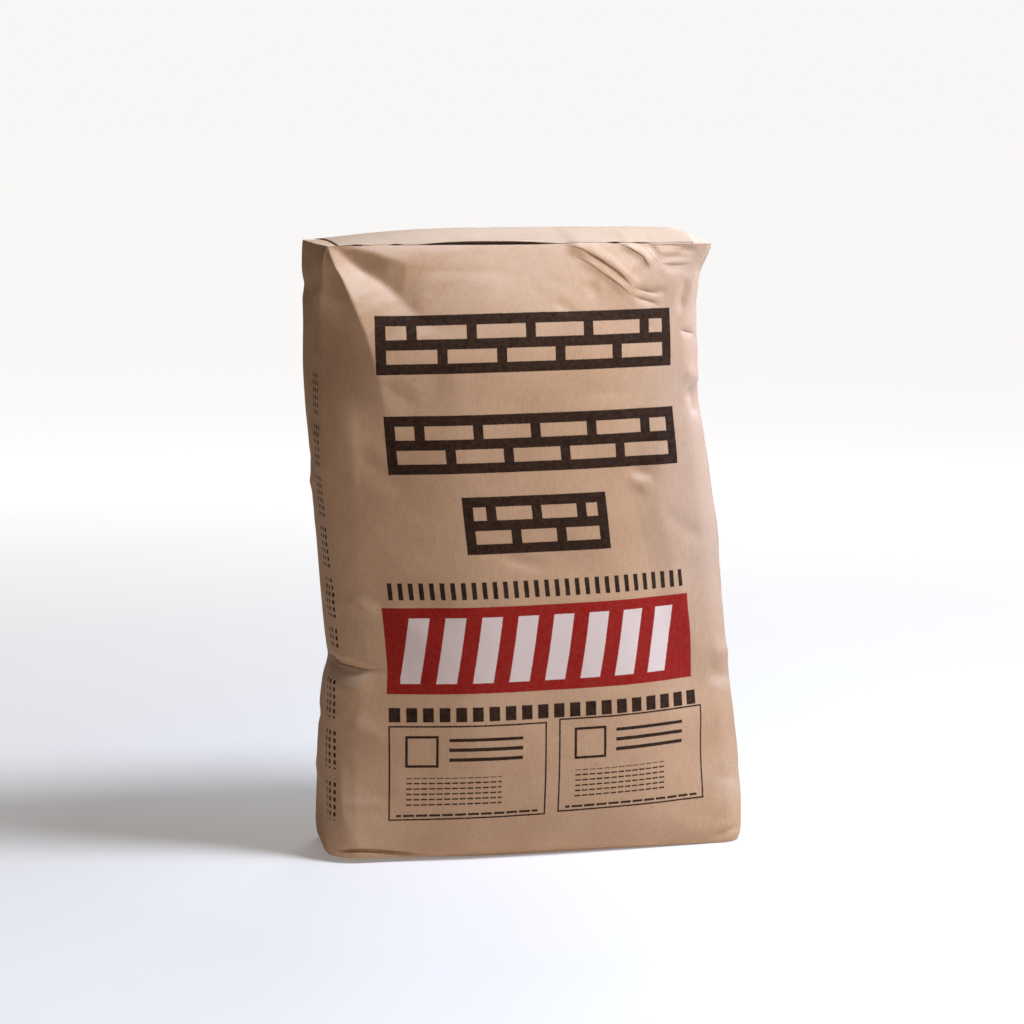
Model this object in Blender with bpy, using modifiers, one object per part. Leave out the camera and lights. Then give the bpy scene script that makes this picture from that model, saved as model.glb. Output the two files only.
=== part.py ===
"""Filled block-bottom valve sack of cement, standing on its pasted foot.

Metres, +Z up. The printed front faces -Y, and the valve is at the +X end of the head. The
origin is on the floor under the middle of the sack.
"""

import math

import bmesh
import bpy

# The filled sack, over its paper
SACK_HEIGHT = 0.520  # from the foot's crease to the head's crease
FOOT_WIDTH = 0.366  # where the cement has settled
BODY_WIDTH = 0.345
SHOULDER_WIDTH = 0.327
HEAD_WIDTH = 0.333
FOOT_DEPTH = 0.110
WAIST_DEPTH = 0.080  # width of the side walls where the front and back swell most
SHOULDER_DEPTH = 0.112  # width of the side walls under the head
HEAD_DEPTH = 0.104
BELLY_DEPTH = 0.152  # the thickest place, on the centre line
SIDE_SWELL = 0.004  # how far the side walls stand out halfway up
LEAN = 0.026  # how far the head stands to -X of the foot
HEAD_CROWN = 0.011  # rise of the head's middle over its crease
FOOT_CORNER = 0.020  # radius of the upright corners at the foot
BODY_CORNER = 0.022
HEAD_CORNER = 0.005
CORNER_REACH = 0.090  # height over which each end's tight corners open out

# Heights over the foot where the shape changes
SETTLED_HEIGHT = 0.043
FULL_FROM_HEIGHT = 0.100  # the front and back are fully swollen from here
BODY_START_HEIGHT = 0.175
WAIST_HEIGHT = 0.230
FULL_TO_HEIGHT = 0.395  # to here
SHOULDER_HEIGHT = 0.420
HEAD_START_HEIGHT = 0.475
LEAN_START_HEIGHT = 0.112
LEAN_END_HEIGHT = 0.435

# Powers that shape the swellings: a low bulge is fuller, and so is a high arch
FOOT_BULGE = 0.5
HEAD_BULGE = 0.9
HEAD_ARCH_LEFT = 2.6
HEAD_ARCH_RIGHT = 16
BELLY_ROUND = 0.45  # share of the half width that is round, before it slopes to the sides

# Papers
SACK_PAPER = 0.0005  # three plies of kraft
COVER_PAPER = 0.0004
COVER_LENGTH = 0.306
FOOT_COVER_WIDTH = 0.088
VALVE_PAPER = 0.0003
VALVE_WIDTH = 0.074
VALVE_LENGTH = 0.090
VALVE_GAPE = 0.0010  # slit between the flattened walls of the valve
VALVE_STUB = 0.0006  # how far the valve's mouth stands out of the sack

CLEARANCE = 0.0003  # between two papers
CEMENT_CLEARANCE = 0.0005  # between paper and cement
VALVE_ROOM = 0.0008  # between the valve and the head's crease, and the cement

# Mesh density. The share is the part of a side's columns that its round corners take.
COLUMNS_ACROSS = 14
COLUMNS_DEEP = 12
ROWS = 20
ROW_BUNCHING = 0.75  # share of the rows that is drawn towards both ends
CORNER_SHARE_ACROSS = 2 / 7
CORNER_SHARE_DEEP = 1 / 3

KRAFT = (0.56, 0.38, 0.25, 1.0)
COVER_KRAFT = (0.66, 0.48, 0.34, 1.0)
CEMENT_GREY = (0.36, 0.36, 0.35, 1.0)

FOOT_Z = COVER_PAPER + CLEARANCE
HEAD_Z = FOOT_Z + SACK_HEIGHT
VALVE_TOP_Z = HEAD_Z - SACK_PAPER - VALVE_ROOM
VALVE_LOW_Z = VALVE_TOP_Z - 2 * VALVE_PAPER - VALVE_GAPE
CEMENT_TOP_Z = VALVE_LOW_Z - VALVE_ROOM


def smooth_share(value, low, high):
    """0 below low, 1 above high, and an even S between them."""
    share = min(1.0, max(0.0, (value - low) / (high - low)))
    return share * share * (3 - 2 * share)


def half_width(height):
    """Half of the sack's width at a height over the foot."""
    body = smooth_share(height, SETTLED_HEIGHT, BODY_START_HEIGHT)
    shoulder = smooth_share(height, BODY_START_HEIGHT, SHOULDER_HEIGHT)
    head = smooth_share(height, HEAD_START_HEIGHT, SACK_HEIGHT)
    width = FOOT_WIDTH + (BODY_WIDTH - FOOT_WIDTH) * body
    width += (SHOULDER_WIDTH - BODY_WIDTH) * shoulder
    return (width + (HEAD_WIDTH - SHOULDER_WIDTH) * head) / 2


def half_side_depth(height):
    """Half of the sack's depth along its upright corners."""
    waist = smooth_share(height, 0, CORNER_REACH)
    shoulder = smooth_share(height, WAIST_HEIGHT, SHOULDER_HEIGHT)
    head = smooth_share(height, HEAD_START_HEIGHT, SACK_HEIGHT)
    depth = FOOT_DEPTH + (WAIST_DEPTH - FOOT_DEPTH) * waist
    depth += (SHOULDER_DEPTH - WAIST_DEPTH) * shoulder
    return (depth + (HEAD_DEPTH - SHOULDER_DEPTH) * head) / 2


def half_belly_depth(height):
    """Half of the sack's depth on its middle line."""
    above_foot = math.sin(math.pi / 2 * min(1.0, height / FULL_FROM_HEIGHT))
    below_head = (SACK_HEIGHT - height) / (SACK_HEIGHT - FULL_TO_HEIGHT)
    below_head = math.sin(math.pi / 2 * min(1.0, below_head))
    depth = FOOT_DEPTH + (BELLY_DEPTH - FOOT_DEPTH) * above_foot**FOOT_BULGE
    return (depth + (HEAD_DEPTH - BELLY_DEPTH) * (1 - below_head**HEAD_BULGE)) / 2


def belly_slope(from_middle):
    """0 on the middle line and 1 at the sides: round at first, and then straight."""
    corner = BELLY_ROUND
    return ((from_middle**4 + corner**4) ** 0.25 - corner) / ((1 + corner**4) ** 0.25 - corner)


def corner_radius(height):
    """Radius of the upright corners: tight at both ends, round in the body."""
    from_foot = smooth_share(height, 0, CORNER_REACH)
    from_head = smooth_share(SACK_HEIGHT - height, 0, CORNER_REACH)
    radius = FOOT_CORNER + (BODY_CORNER - FOOT_CORNER) * from_foot
    return HEAD_CORNER + (radius - HEAD_CORNER) * from_head


def lean(height):
    return -LEAN * smooth_share(height, LEAN_START_HEIGHT, LEAN_END_HEIGHT)


def head_rise(x, y):
    """Rise of the head over its crease, at a place measured from the head's middle."""
    across = min(1.0, abs(x) / half_width(SACK_HEIGHT))
    deep = min(1.0, abs(y) / half_side_depth(SACK_HEIGHT))
    arch = HEAD_ARCH_RIGHT if x > 0 else HEAD_ARCH_LEFT
    return HEAD_CROWN * (1 - across**arch) * (1 - deep**2)


def head_end_x():
    """Outside of the side wall at the head, at the valve's end."""
    return lean(SACK_HEIGHT) + half_width(SACK_HEIGHT)


def rounded_edge(share, corner_share, straight, out, radius):
    """A place on one side of a rounded rectangle.

    share runs from 0 at the side's middle to 1 halfway round its corner, and is negative on
    the other half. Returns the distances along the side and out to it.
    """
    from_middle = abs(share)
    if from_middle <= 1 - corner_share:
        along = straight * from_middle / (1 - corner_share)
    else:
        turn = (from_middle - 1 + corner_share) / corner_share * math.pi / 4
        along = straight + radius * math.sin(turn)
        out += radius * (math.cos(turn) - 1)
    return math.copysign(along, share), out


def section_point(across, deep, half_x, half_y, radius):
    """Point of a rounded rectangle for the point (across, deep) of a square from -1 to 1."""
    front_x, front_y = rounded_edge(
        across, CORNER_SHARE_ACROSS, half_x - radius, half_y, radius
    )
    side_y, side_x = rounded_edge(
        deep, CORNER_SHARE_DEEP, half_y - radius, half_x, radius
    )
    corner_gap = radius * (1 - math.cos(math.pi / 4))
    x = front_x + across * (side_x - half_x + corner_gap)
    y = side_y + deep * (front_y - half_y + corner_gap)
    return x, y


def sack_point(across, deep, up):
    """Point of the sack's outside for the point (across, deep, up) of a cube from -1 to 1."""
    bunched = ROW_BUNCHING * math.sin(math.pi / 2 * up) + (1 - ROW_BUNCHING) * up
    height = (1 + bunched) / 2 * SACK_HEIGHT
    half_x = half_width(height)
    half_y = half_side_depth(height)
    x, y = section_point(across, deep, half_x, half_y, corner_radius(height))
    rise = head_rise(x, y) if up > 0.999 else 0.0
    from_middle = min(1.0, abs(x) / half_x)
    from_centre = min(1.0, abs(y) / half_y)
    swelling = half_belly_depth(height) - half_y
    y += math.copysign(swelling * from_centre * (1 - belly_slope(from_middle)), deep)
    side_swelling = SIDE_SWELL * math.sin(math.pi * height / SACK_HEIGHT)
    x += math.copysign(side_swelling * from_middle * (1 - from_centre**2), across)
    return x + lean(height), y, FOOT_Z + height + rise


def cube_grid(columns_across, columns_deep, rows):
    """A cube from -1 to 1 with each face split into a grid."""
    bm = bmesh.new()
    bmesh.ops.create_cube(bm, size=2)
    for axis, count in enumerate((columns_across, columns_deep, rows)):
        along = [
            edge
            for edge in bm.edges
            if abs(edge.verts[0].co[axis] - edge.verts[1].co[axis]) > 1
        ]
        if count > 1:
            bmesh.ops.subdivide_edges(bm, edges=along, cuts=count - 1, use_grid_fill=True)
    return bm


def sack_body():
    """The outside of the filled sack as one closed body."""
    bm = cube_grid(COLUMNS_ACROSS, COLUMNS_DEEP, ROWS)
    for vertex in bm.verts:
        vertex.co = sack_point(*vertex.co)
    bmesh.ops.triangulate(bm, faces=bm.faces)
    bmesh.ops.recalc_face_normals(bm, faces=bm.faces)
    return bm


def make_material(name, colour, roughness):
    material = bpy.data.materials.new(name)
    material.use_nodes = True
    shader = material.node_tree.nodes["Principled BSDF"]
    shader.inputs["Base Color"].default_value = colour
    shader.inputs["Roughness"].default_value = roughness
    shader.inputs["Metallic"].default_value = 0.0
    return material


def add_object(name, bm, collection, material=None):
    bmesh.ops.recalc_face_normals(bm, faces=bm.faces)
    mesh = bpy.data.meshes.new(name)
    bm.to_mesh(mesh)
    bm.free()
    mesh.shade_smooth()
    mesh.set_sharp_from_angle(angle=math.radians(40))
    if material:
        mesh.materials.append(material)
    made = bpy.data.objects.new(name, mesh)
    collection.objects.link(made)
    return made


def add_thickness(made, paper, offset):
    """Gives a surface its paper: offset 1 is outwards of it and -1 is inwards."""
    solidify = made.modifiers.new("paper", "SOLIDIFY")
    solidify.thickness = paper
    solidify.offset = offset
    solidify.use_even_offset = True


def make_valve_slot(cutters):
    """Cutter for the slit in the side wall that the valve's mouth comes out of."""
    bm = bmesh.new()
    bmesh.ops.create_cube(bm, size=2)
    for vertex in bm.verts:
        across, deep, up = vertex.co
        vertex.co = (
            head_end_x() + across * 3 * SACK_PAPER,
            deep * (VALVE_WIDTH / 2 + CLEARANCE),
            VALVE_TOP_Z + CLEARANCE if up > 0 else VALVE_LOW_Z - CLEARANCE,
        )
    slot = add_object("valve_slot_cutter", bm, cutters)
    slot.hide_render = True
    slot.display_type = "WIRE"
    return slot


def make_sack(collection, cutters, material):
    """The paper tube with its folded ends, closed except at the valve."""
    sack = add_object("paper_sack", sack_body(), collection, material)
    add_thickness(sack, SACK_PAPER, offset=-1)
    cut = sack.modifiers.new("valve_slot", "BOOLEAN")
    cut.operation = "DIFFERENCE"
    cut.solver = "EXACT"
    cut.object = make_valve_slot(cutters)
    return sack


def make_valve_sleeve(collection, material):
    """A flattened paper tube under the head, with its mouth in the side wall."""
    bm = bmesh.new()
    bmesh.ops.create_cube(bm, size=2)
    open_ends = [face for face in bm.faces if abs(face.normal.x) > 0.99]
    bmesh.ops.delete(bm, geom=open_ends, context="FACES_ONLY")
    mouth_x = head_end_x() + VALVE_STUB
    for vertex in bm.verts:
        along, deep, up = vertex.co
        vertex.co = (
            mouth_x - VALVE_LENGTH * (1 - along) / 2,
            deep * VALVE_WIDTH / 2,
            VALVE_TOP_Z if up > 0 else VALVE_LOW_Z,
        )
    sleeve = add_object("valve_sleeve", bm, collection, material)
    add_thickness(sleeve, VALVE_PAPER, offset=-1)
    return sleeve


def make_head_cover(collection, material):
    """The strip pasted over the head, with the same facets as the paper under it."""
    bm = sack_body()
    below = [vertex for vertex in bm.verts if vertex.co.z < HEAD_Z - CLEARANCE]
    bmesh.ops.delete(bm, geom=below, context="VERTS")
    for side in (-1, 1):
        bmesh.ops.bisect_plane(
            bm,
            geom=[*bm.verts, *bm.edges, *bm.faces],
            plane_co=(lean(SACK_HEIGHT) + side * COVER_LENGTH / 2, 0, 0),
            plane_no=(side, 0, 0),
            clear_outer=True,
        )
    bmesh.ops.translate(bm, verts=bm.verts, vec=(0, 0, CLEARANCE))
    cover = add_object("head_cover", bm, collection, material)
    add_thickness(cover, COVER_PAPER, offset=1)
    return cover


def make_foot_cover(collection, material):
    """The flat strip pasted under the foot, which the sack stands on."""
    bm = bmesh.new()
    bmesh.ops.create_cube(bm, size=1)
    bmesh.ops.scale(bm, verts=bm.verts, vec=(COVER_LENGTH, FOOT_COVER_WIDTH, COVER_PAPER))
    bmesh.ops.translate(bm, verts=bm.verts, vec=(0, 0, COVER_PAPER / 2))
    return add_object("foot_cover", bm, collection, material)


def make_cement(collection, material):
    """The powder, which fills the sack up to a level a little under the valve."""
    bm = sack_body()
    bm.normal_update()
    inwards = [
        vertex.normal * -vertex.calc_shell_factor() * (SACK_PAPER + CEMENT_CLEARANCE)
        for vertex in bm.verts
    ]
    in_head = [vertex for vertex in bm.verts if vertex.co.z > HEAD_Z - CLEARANCE]
    for vertex, shift in zip(bm.verts, inwards):
        vertex.co += shift
    for vertex in in_head:
        vertex.co.z = CEMENT_TOP_Z
    return add_object("cement_fill", bm, collection, material)


def centre_on_origin(sack, made):
    """Moves every object so that the sack's box is centred in X and Y."""
    corners = [vertex.co for vertex in sack.data.vertices]
    for axis in (0, 1):
        values = [corner[axis] for corner in corners]
        for each in made:
            each.location[axis] = -(min(values) + max(values)) / 2


def main():
    for old in list(bpy.data.objects):
        bpy.data.objects.remove(old)
    parts = bpy.data.collections.new("cement_bag")
    cutters = bpy.data.collections.new("cutters")
    bpy.context.scene.collection.children.link(parts)
    bpy.context.scene.collection.children.link(cutters)
    kraft = make_material("kraft_paper", KRAFT, 0.75)
    cover_kraft = make_material("cover_paper", COVER_KRAFT, 0.75)
    cement = make_material("cement", CEMENT_GREY, 0.95)
    sack = make_sack(parts, cutters, kraft)
    make_valve_sleeve(parts, cover_kraft)
    make_head_cover(parts, cover_kraft)
    make_foot_cover(parts, cover_kraft)
    make_cement(parts, cement)
    centre_on_origin(sack, [*parts.objects, *cutters.objects])


main()
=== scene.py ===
"""Looks of a filled cement sack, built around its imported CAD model.

Metres, +Z up. The printed front faces -Y, and the valve is at the +X end of the head. A place
on the sack's wall is (across, height): metres along the paper from the front's middle line,
and metres above the foot's crease. Tables of folds, edges and print give it in millimetres.
"""

import math
from functools import reduce

import bpy
import numpy as np
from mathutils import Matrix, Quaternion, Vector, geometry
from mathutils.bvhtree import BVHTree


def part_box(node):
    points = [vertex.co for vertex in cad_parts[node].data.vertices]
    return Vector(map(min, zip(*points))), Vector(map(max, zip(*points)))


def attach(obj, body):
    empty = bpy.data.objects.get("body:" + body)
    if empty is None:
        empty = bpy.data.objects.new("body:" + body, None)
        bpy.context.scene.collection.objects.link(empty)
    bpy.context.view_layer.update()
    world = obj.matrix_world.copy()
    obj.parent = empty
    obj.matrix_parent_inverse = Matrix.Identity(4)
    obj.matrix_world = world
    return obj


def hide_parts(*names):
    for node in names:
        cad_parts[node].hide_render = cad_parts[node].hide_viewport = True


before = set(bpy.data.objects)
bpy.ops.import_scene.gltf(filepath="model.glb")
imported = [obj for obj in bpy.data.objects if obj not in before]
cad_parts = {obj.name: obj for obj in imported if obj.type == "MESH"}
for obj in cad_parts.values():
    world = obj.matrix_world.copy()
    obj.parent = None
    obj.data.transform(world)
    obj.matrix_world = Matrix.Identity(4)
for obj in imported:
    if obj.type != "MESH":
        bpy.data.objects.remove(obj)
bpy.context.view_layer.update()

# The filled sack, with the values and the formulas of part.py
SACK_HEIGHT = 0.520
FOOT_WIDTH = 0.366
BODY_WIDTH = 0.345
SHOULDER_WIDTH = 0.327
HEAD_WIDTH = 0.333
FOOT_DEPTH = 0.110
WAIST_DEPTH = 0.080
SHOULDER_DEPTH = 0.112
HEAD_DEPTH = 0.104
BELLY_DEPTH = 0.152
SIDE_SWELL = 0.004
LEAN = 0.026
HEAD_CROWN = 0.011
FOOT_CORNER = 0.020
BODY_CORNER = 0.022
HEAD_CORNER = 0.005
CORNER_REACH = 0.090
SETTLED_HEIGHT = 0.043
FULL_FROM_HEIGHT = 0.100
BODY_START_HEIGHT = 0.175
WAIST_HEIGHT = 0.230
FULL_TO_HEIGHT = 0.395
SHOULDER_HEIGHT = 0.420
HEAD_START_HEIGHT = 0.475
LEAN_START_HEIGHT = 0.112
LEAN_END_HEIGHT = 0.435
FOOT_BULGE = 0.5
HEAD_BULGE = 0.9
HEAD_ARCH_LEFT = 2.6
HEAD_ARCH_RIGHT = 16
BELLY_ROUND = 0.45
COVER_PAPER = 0.0004
VALVE_WIDTH = 0.074
FOOT_Z = 0.0007
HEAD_Z = FOOT_Z + SACK_HEIGHT

# Room between the sack and its pasted strips
COVER_CLEARANCE = 0.0004
FOOT_CLEARANCE = 0.00015

# Mesh density
COLUMNS_ACROSS = 144
COLUMNS_DEEP = 36
LOOP = 2 * (COLUMNS_ACROSS + COLUMNS_DEEP)
INNER = (COLUMNS_ACROSS - 1) * (COLUMNS_DEEP - 1)
END_CROWDING = 0.25  # how much closer together the columns are near the corners
even_shares = np.linspace(-1, 1, COLUMNS_ACROSS + 1)
SHARES_ACROSS = even_shares * (1 + END_CROWDING * (1 - even_shares**2))
SHARES_DEEP = np.linspace(-1, 1, COLUMNS_DEEP + 1)

foot_low, foot_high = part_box("foot_cover")
MIDDLE_X = (foot_low.x + foot_high.x) / 2  # where part.py's centring put the foot's middle


def smooth_share(value, low, high):
    """0 below low, 1 above high, and an even S between them."""
    share = np.clip((value - low) / (high - low), 0.0, 1.0)
    return share * share * (3 - 2 * share)


def bump_share(value, middle, reach):
    """1 at middle, falling evenly to 0 at reach from it."""
    return 1 - smooth_share(np.abs(value - middle), 0.0, reach)


# The smooth sack


def row_heights():
    """Heights of the wall's rows, closer together at the creases and in the wrinkled top."""
    heights = [0.0]
    while heights[-1] < SACK_HEIGHT:
        height = heights[-1]
        if height < 0.012:
            step = 0.0010
        elif height < 0.030 or height > 0.440:
            step = 0.0016
        elif height > 0.385:
            step = 0.0020
        else:
            step = 0.0030
        heights.append(height + step)
    return np.array(heights) * SACK_HEIGHT / heights[-1]


def half_width(height):
    body = smooth_share(height, SETTLED_HEIGHT, BODY_START_HEIGHT)
    shoulder = smooth_share(height, BODY_START_HEIGHT, SHOULDER_HEIGHT)
    head = smooth_share(height, HEAD_START_HEIGHT, SACK_HEIGHT)
    width = FOOT_WIDTH + (BODY_WIDTH - FOOT_WIDTH) * body
    width += (SHOULDER_WIDTH - BODY_WIDTH) * shoulder
    return (width + (HEAD_WIDTH - SHOULDER_WIDTH) * head) / 2


def half_side_depth(height):
    waist = smooth_share(height, 0, CORNER_REACH)
    shoulder = smooth_share(height, WAIST_HEIGHT, SHOULDER_HEIGHT)
    head = smooth_share(height, HEAD_START_HEIGHT, SACK_HEIGHT)
    depth = FOOT_DEPTH + (WAIST_DEPTH - FOOT_DEPTH) * waist
    depth += (SHOULDER_DEPTH - WAIST_DEPTH) * shoulder
    return (depth + (HEAD_DEPTH - SHOULDER_DEPTH) * head) / 2


def half_belly_depth(height):
    above_foot = np.sin(np.pi / 2 * np.minimum(1, height / FULL_FROM_HEIGHT))
    below_head = (SACK_HEIGHT - height) / (SACK_HEIGHT - FULL_TO_HEIGHT)
    below_head = np.sin(np.pi / 2 * np.minimum(1, below_head))
    depth = FOOT_DEPTH + (BELLY_DEPTH - FOOT_DEPTH) * above_foot**FOOT_BULGE
    return (depth + (HEAD_DEPTH - BELLY_DEPTH) * (1 - below_head**HEAD_BULGE)) / 2


def belly_slope(from_middle):
    """0 on the middle line and 1 at the sides: round at first, and then straight."""
    corner = BELLY_ROUND
    return ((from_middle**4 + corner**4) ** 0.25 - corner) / ((1 + corner**4) ** 0.25 - corner)


def corner_radius(height):
    from_foot = smooth_share(height, 0, CORNER_REACH)
    from_head = smooth_share(SACK_HEIGHT - height, 0, CORNER_REACH)
    radius = FOOT_CORNER + (BODY_CORNER - FOOT_CORNER) * from_foot
    return HEAD_CORNER + (radius - HEAD_CORNER) * from_head


def edge_line(share, straight, half, radius):
    """One side of a rounded rectangle from corner to corner, for shares from -1 to 1."""
    arc = radius * np.pi / 4
    corner_share = arc / (arc + straight)
    from_middle = np.abs(share)[None, :]
    turn = np.clip((from_middle - 1 + corner_share) / corner_share, 0, 1) * np.pi / 4
    along = np.where(
        from_middle <= 1 - corner_share,
        straight * from_middle / (1 - corner_share),
        straight + radius * np.sin(turn),
    )
    return along * np.sign(share)[None, :], half + radius * (np.cos(turn) - 1)


def wall_points(heights):
    """The smooth wall as rows of points round the sack, from the front's left corner."""
    half_x = half_width(heights)[:, None]
    half_y = half_side_depth(heights)[:, None]
    half_belly = half_belly_depth(heights)[:, None]
    radius = corner_radius(heights)[:, None]
    front_x, front_y = edge_line(SHARES_ACROSS, half_x - radius, half_y, radius)
    side_y, side_x = edge_line(SHARES_DEEP, half_y - radius, half_x, radius)
    x = np.hstack([front_x[:, :-1], side_x[:, :-1], -front_x[:, :-1], -side_x[:, :-1]])
    y = np.hstack([-front_y[:, :-1], side_y[:, :-1], front_y[:, :-1], -side_y[:, :-1]])
    from_middle = np.minimum(1, np.abs(x) / half_x)
    from_centre = np.minimum(1, np.abs(y) / half_y)
    swelling = (half_belly - half_y) * from_centre
    y = y + np.sign(y) * swelling * (1 - belly_slope(from_middle))
    z = np.broadcast_to(heights[:, None], x.shape)
    side_swelling = SIDE_SWELL * np.sin(np.pi * z / SACK_HEIGHT)
    x = x + np.sign(x) * side_swelling * from_middle * (1 - from_centre**2)
    x = x - LEAN * smooth_share(z, LEAN_START_HEIGHT, LEAN_END_HEIGHT) + MIDDLE_X
    return np.stack([x, y, z + FOOT_Z], axis=-1)


def paper_across(points):
    """Metres along the paper from the front's middle line, negative to the left."""
    steps = np.linalg.norm(np.roll(points, -1, axis=1) - points, axis=-1)
    walked = np.hstack([np.zeros((len(points), 1)), np.cumsum(steps, axis=1)])
    perimeter = walked[:, -1:]
    across = walked[:, :-1] - walked[:, COLUMNS_ACROSS // 2][:, None]
    return np.where(across > perimeter / 2, across - perimeter, across), perimeter


def outward(points):
    """Unit normals of the wall."""
    around = np.roll(points, -1, axis=1) - np.roll(points, 1, axis=1)
    upward = np.gradient(points, axis=0)
    normal = np.cross(around, upward)
    return normal / np.linalg.norm(normal, axis=-1, keepdims=True)


HEIGHTS = row_heights()
smooth_wall = wall_points(HEIGHTS)
ACROSS, PERIMETER = paper_across(smooth_wall)
HEIGHT = np.broadcast_to(HEIGHTS[:, None], ACROSS.shape)
NORMAL = outward(smooth_wall)


# Folds and dents, with their places and sizes in millimetres
ACROSS_MM, HEIGHT_MM = 1000 * ACROSS, 1000 * HEIGHT


def path_distance(points):
    """Distance of every wall point from a path, positive on its left, and the share along it."""
    signed = np.full(ACROSS.shape, np.inf)
    share = np.zeros(ACROSS.shape)
    lengths = [math.dist(a, b) for a, b in zip(points, points[1:])]
    walked = 0.0
    for (x0, z0), (x1, z1), length in zip(points, points[1:], lengths):
        dx, dz = (x1 - x0) / length, (z1 - z0) / length
        along = np.clip((ACROSS_MM - x0) * dx + (HEIGHT_MM - z0) * dz, 0, length)
        off_x = ACROSS_MM - x0 - along * dx
        off_z = HEIGHT_MM - z0 - along * dz
        distance = np.hypot(off_x, off_z)
        closer = distance < np.abs(signed)
        side = np.where(dx * off_z - dz * off_x >= 0, 1.0, -1.0)
        signed = np.where(closer, side * distance, signed)
        share = np.where(closer, (walked + along) / sum(lengths), share)
        walked += length
    return signed, share


def fold(points, height, left, right, fade_in=0.25, fade_out=0.25, crest=1.2, power=1.4):
    """A fold in the paper: a crest along a path, with flanks of the widths left and right.

    A negative height makes a valley. The height fades over shares of the path's length.
    """
    signed, share = path_distance(points)
    rounded = np.sqrt(signed**2 + crest**2) - crest
    flank = np.clip(1 - rounded / np.where(signed > 0, left, right), 0, 1) ** power
    fading = smooth_share(share, 0, fade_in) * (1 - smooth_share(share, 1 - fade_out, 1))
    return height / 1000 * flank * fading


def crease(points, depth, reach):
    """A narrow sharp valley, or a sharp ridge where depth is negative."""
    return fold(points, -depth, reach, reach, 0.3, 0.4, crest=0.6, power=1.2)


def dent(across, height, reach_across, reach_height, depth):
    """A soft round hollow, or a swelling where depth is negative."""
    squared = ((ACROSS_MM - across) / reach_across) ** 2
    squared = squared + ((HEIGHT_MM - height) / reach_height) ** 2
    return -depth / 1000 * np.exp(-2 * squared)


FACETS_REACH = 0.5  # a little more than half the way round the sack
FACETS_STRAY = 0.45  # how far a facet's corner strays, in spacings


def facets(seed, spacing):
    """Crumpled paper: flat facets between random heights from -1 to 1."""
    rng = np.random.default_rng(seed)
    columns = np.arange(-FACETS_REACH, FACETS_REACH + spacing, spacing)
    rows = np.arange(-spacing, SACK_HEIGHT + 2 * spacing, spacing)
    stray = FACETS_STRAY * spacing
    places = [Vector((x + rng.uniform(-stray, stray), z + rng.uniform(-stray, stray)))
              for z in rows for x in columns]
    verts, _, faces, _, _, _ = geometry.delaunay_2d_cdt(places, [], [], 0, 1e-6)
    raised = [Vector((v.x, v.y, rng.uniform(-1, 1))) for v in verts]
    return dropped_onto(BVHTree.FromPolygons(raised, faces))


def spanned(lines, rim):
    """Flat facets between crease lines of (across, height, rise) points, with no rise at the rim."""
    outlines = [*lines, [(*place, 0) for place in rim]]
    points = [np.array(point) / 1000 for line in outlines for point in line]
    edges = []
    start = 0
    for line in outlines:
        edges += [(start + step, start + step + 1) for step in range(len(line) - 1)]
        start += len(line)
    flat = [Vector(point[:2]) for point in points]
    verts, _, faces, origins, _, _ = geometry.delaunay_2d_cdt(flat, edges, [], 0, 1e-6)
    raised = [Vector((v.x, v.y, points[origin[0]][2])) for v, origin in zip(verts, origins)]
    return dropped_onto(BVHTree.FromPolygons(raised, faces))


def dropped_onto(tree):
    """Height of a surface over every wall point, and 0 beside it."""
    down = Vector((0, 0, -1))
    found = np.zeros(ACROSS.shape)
    for place in np.ndindex(ACROSS.shape):
        hit = tree.ray_cast(Vector((ACROSS[place], HEIGHT[place], 5)), down)[0]
        if hit is not None:
            found[place] = hit.z
    return found


# Edges of the facets at the top left: across, height and, in the first three, rise
RIDGE = [(-117, 380, 0), (-119, 394, 0.8), (-123.5, 414, 2.2), (-128, 435, 3.6), (-131.5, 448, 4.6),
         (-137.5, 464, 5.4), (-142.5, 477, 5.5), (-150, 493, 5), (-157, 504, 3.6), (-162.5, 516, 1),
         (-165, 521.5, 0)]
VALLEY = [(-154, 516.5, -0.7), (-140, 507, -3.6), (-127.5, 499, -5.2), (-112.5, 488, -5.4),
          (-100.5, 476, -4), (-88, 463, -2.4), (-73, 448, -0.7)]
UPPER_RIDGE = [(-150, 520, 0.3), (-141, 518, 1.2), (-128, 515, 2.1), (-111, 509, 2.8), (-97, 505, 2.5),
               (-76, 502, 1.5), (-42, 499, 0.3)]
TOP_LEFT_RIM = [(-180, 521.5), (-20, 521.5), (-15, 490), (-30, 455), (-60, 425), (-95, 385), (-116, 370),
                (-185, 370), (-180, 521.5)]
SIDE_CREASE = [(-176, 380), (-175, 434), (-170, 466), (-166, 492), (-164, 520)]

# The other folds of the front, from the top down: what fold, crease and dent take
FOLDS = (
    ([(40, 521), (59, 515), (72, 508), (81, 502), (92, 494), (100, 485)], 2.7, 24, 8, 0.15, 0.25, 0.8, 1.1),
    ([(51, 511), (70, 499), (80, 492), (88, 485), (97, 479)], 1.4, 3.5, 6.5, 0.25, 0.3, 0.5, 1.1),
    ([(88, 520.5), (100, 515), (109, 510), (113, 502)], 1.6, 9, 4.5, 0.15, 0.2, 0.5, 1.1),
    ([(145, 412), (175, 405)], 1.8, 12, 12),
    ([(150, 398), (160, 388), (160, 372)], -2.6, 10, 10),
    ([(86, 324.5), (101, 319), (96, 310)], 1.6, 9, 12),
    ([(-173, 225), (-151, 214), (-139, 214)], 1.6, 10, 10),
    ([(155, 168), (195, 162)], 1.6, 12, 12),
    ([(-215, 150), (-190, 149), (-150, 148)], 1.8, 14, 18),
    ([(150, 150), (169, 145), (190, 143)], -2.2, 11, 11),
    ([(-172, 119), (-153, 111), (-139, 105)], 1.4, 12, 12),
)
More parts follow.
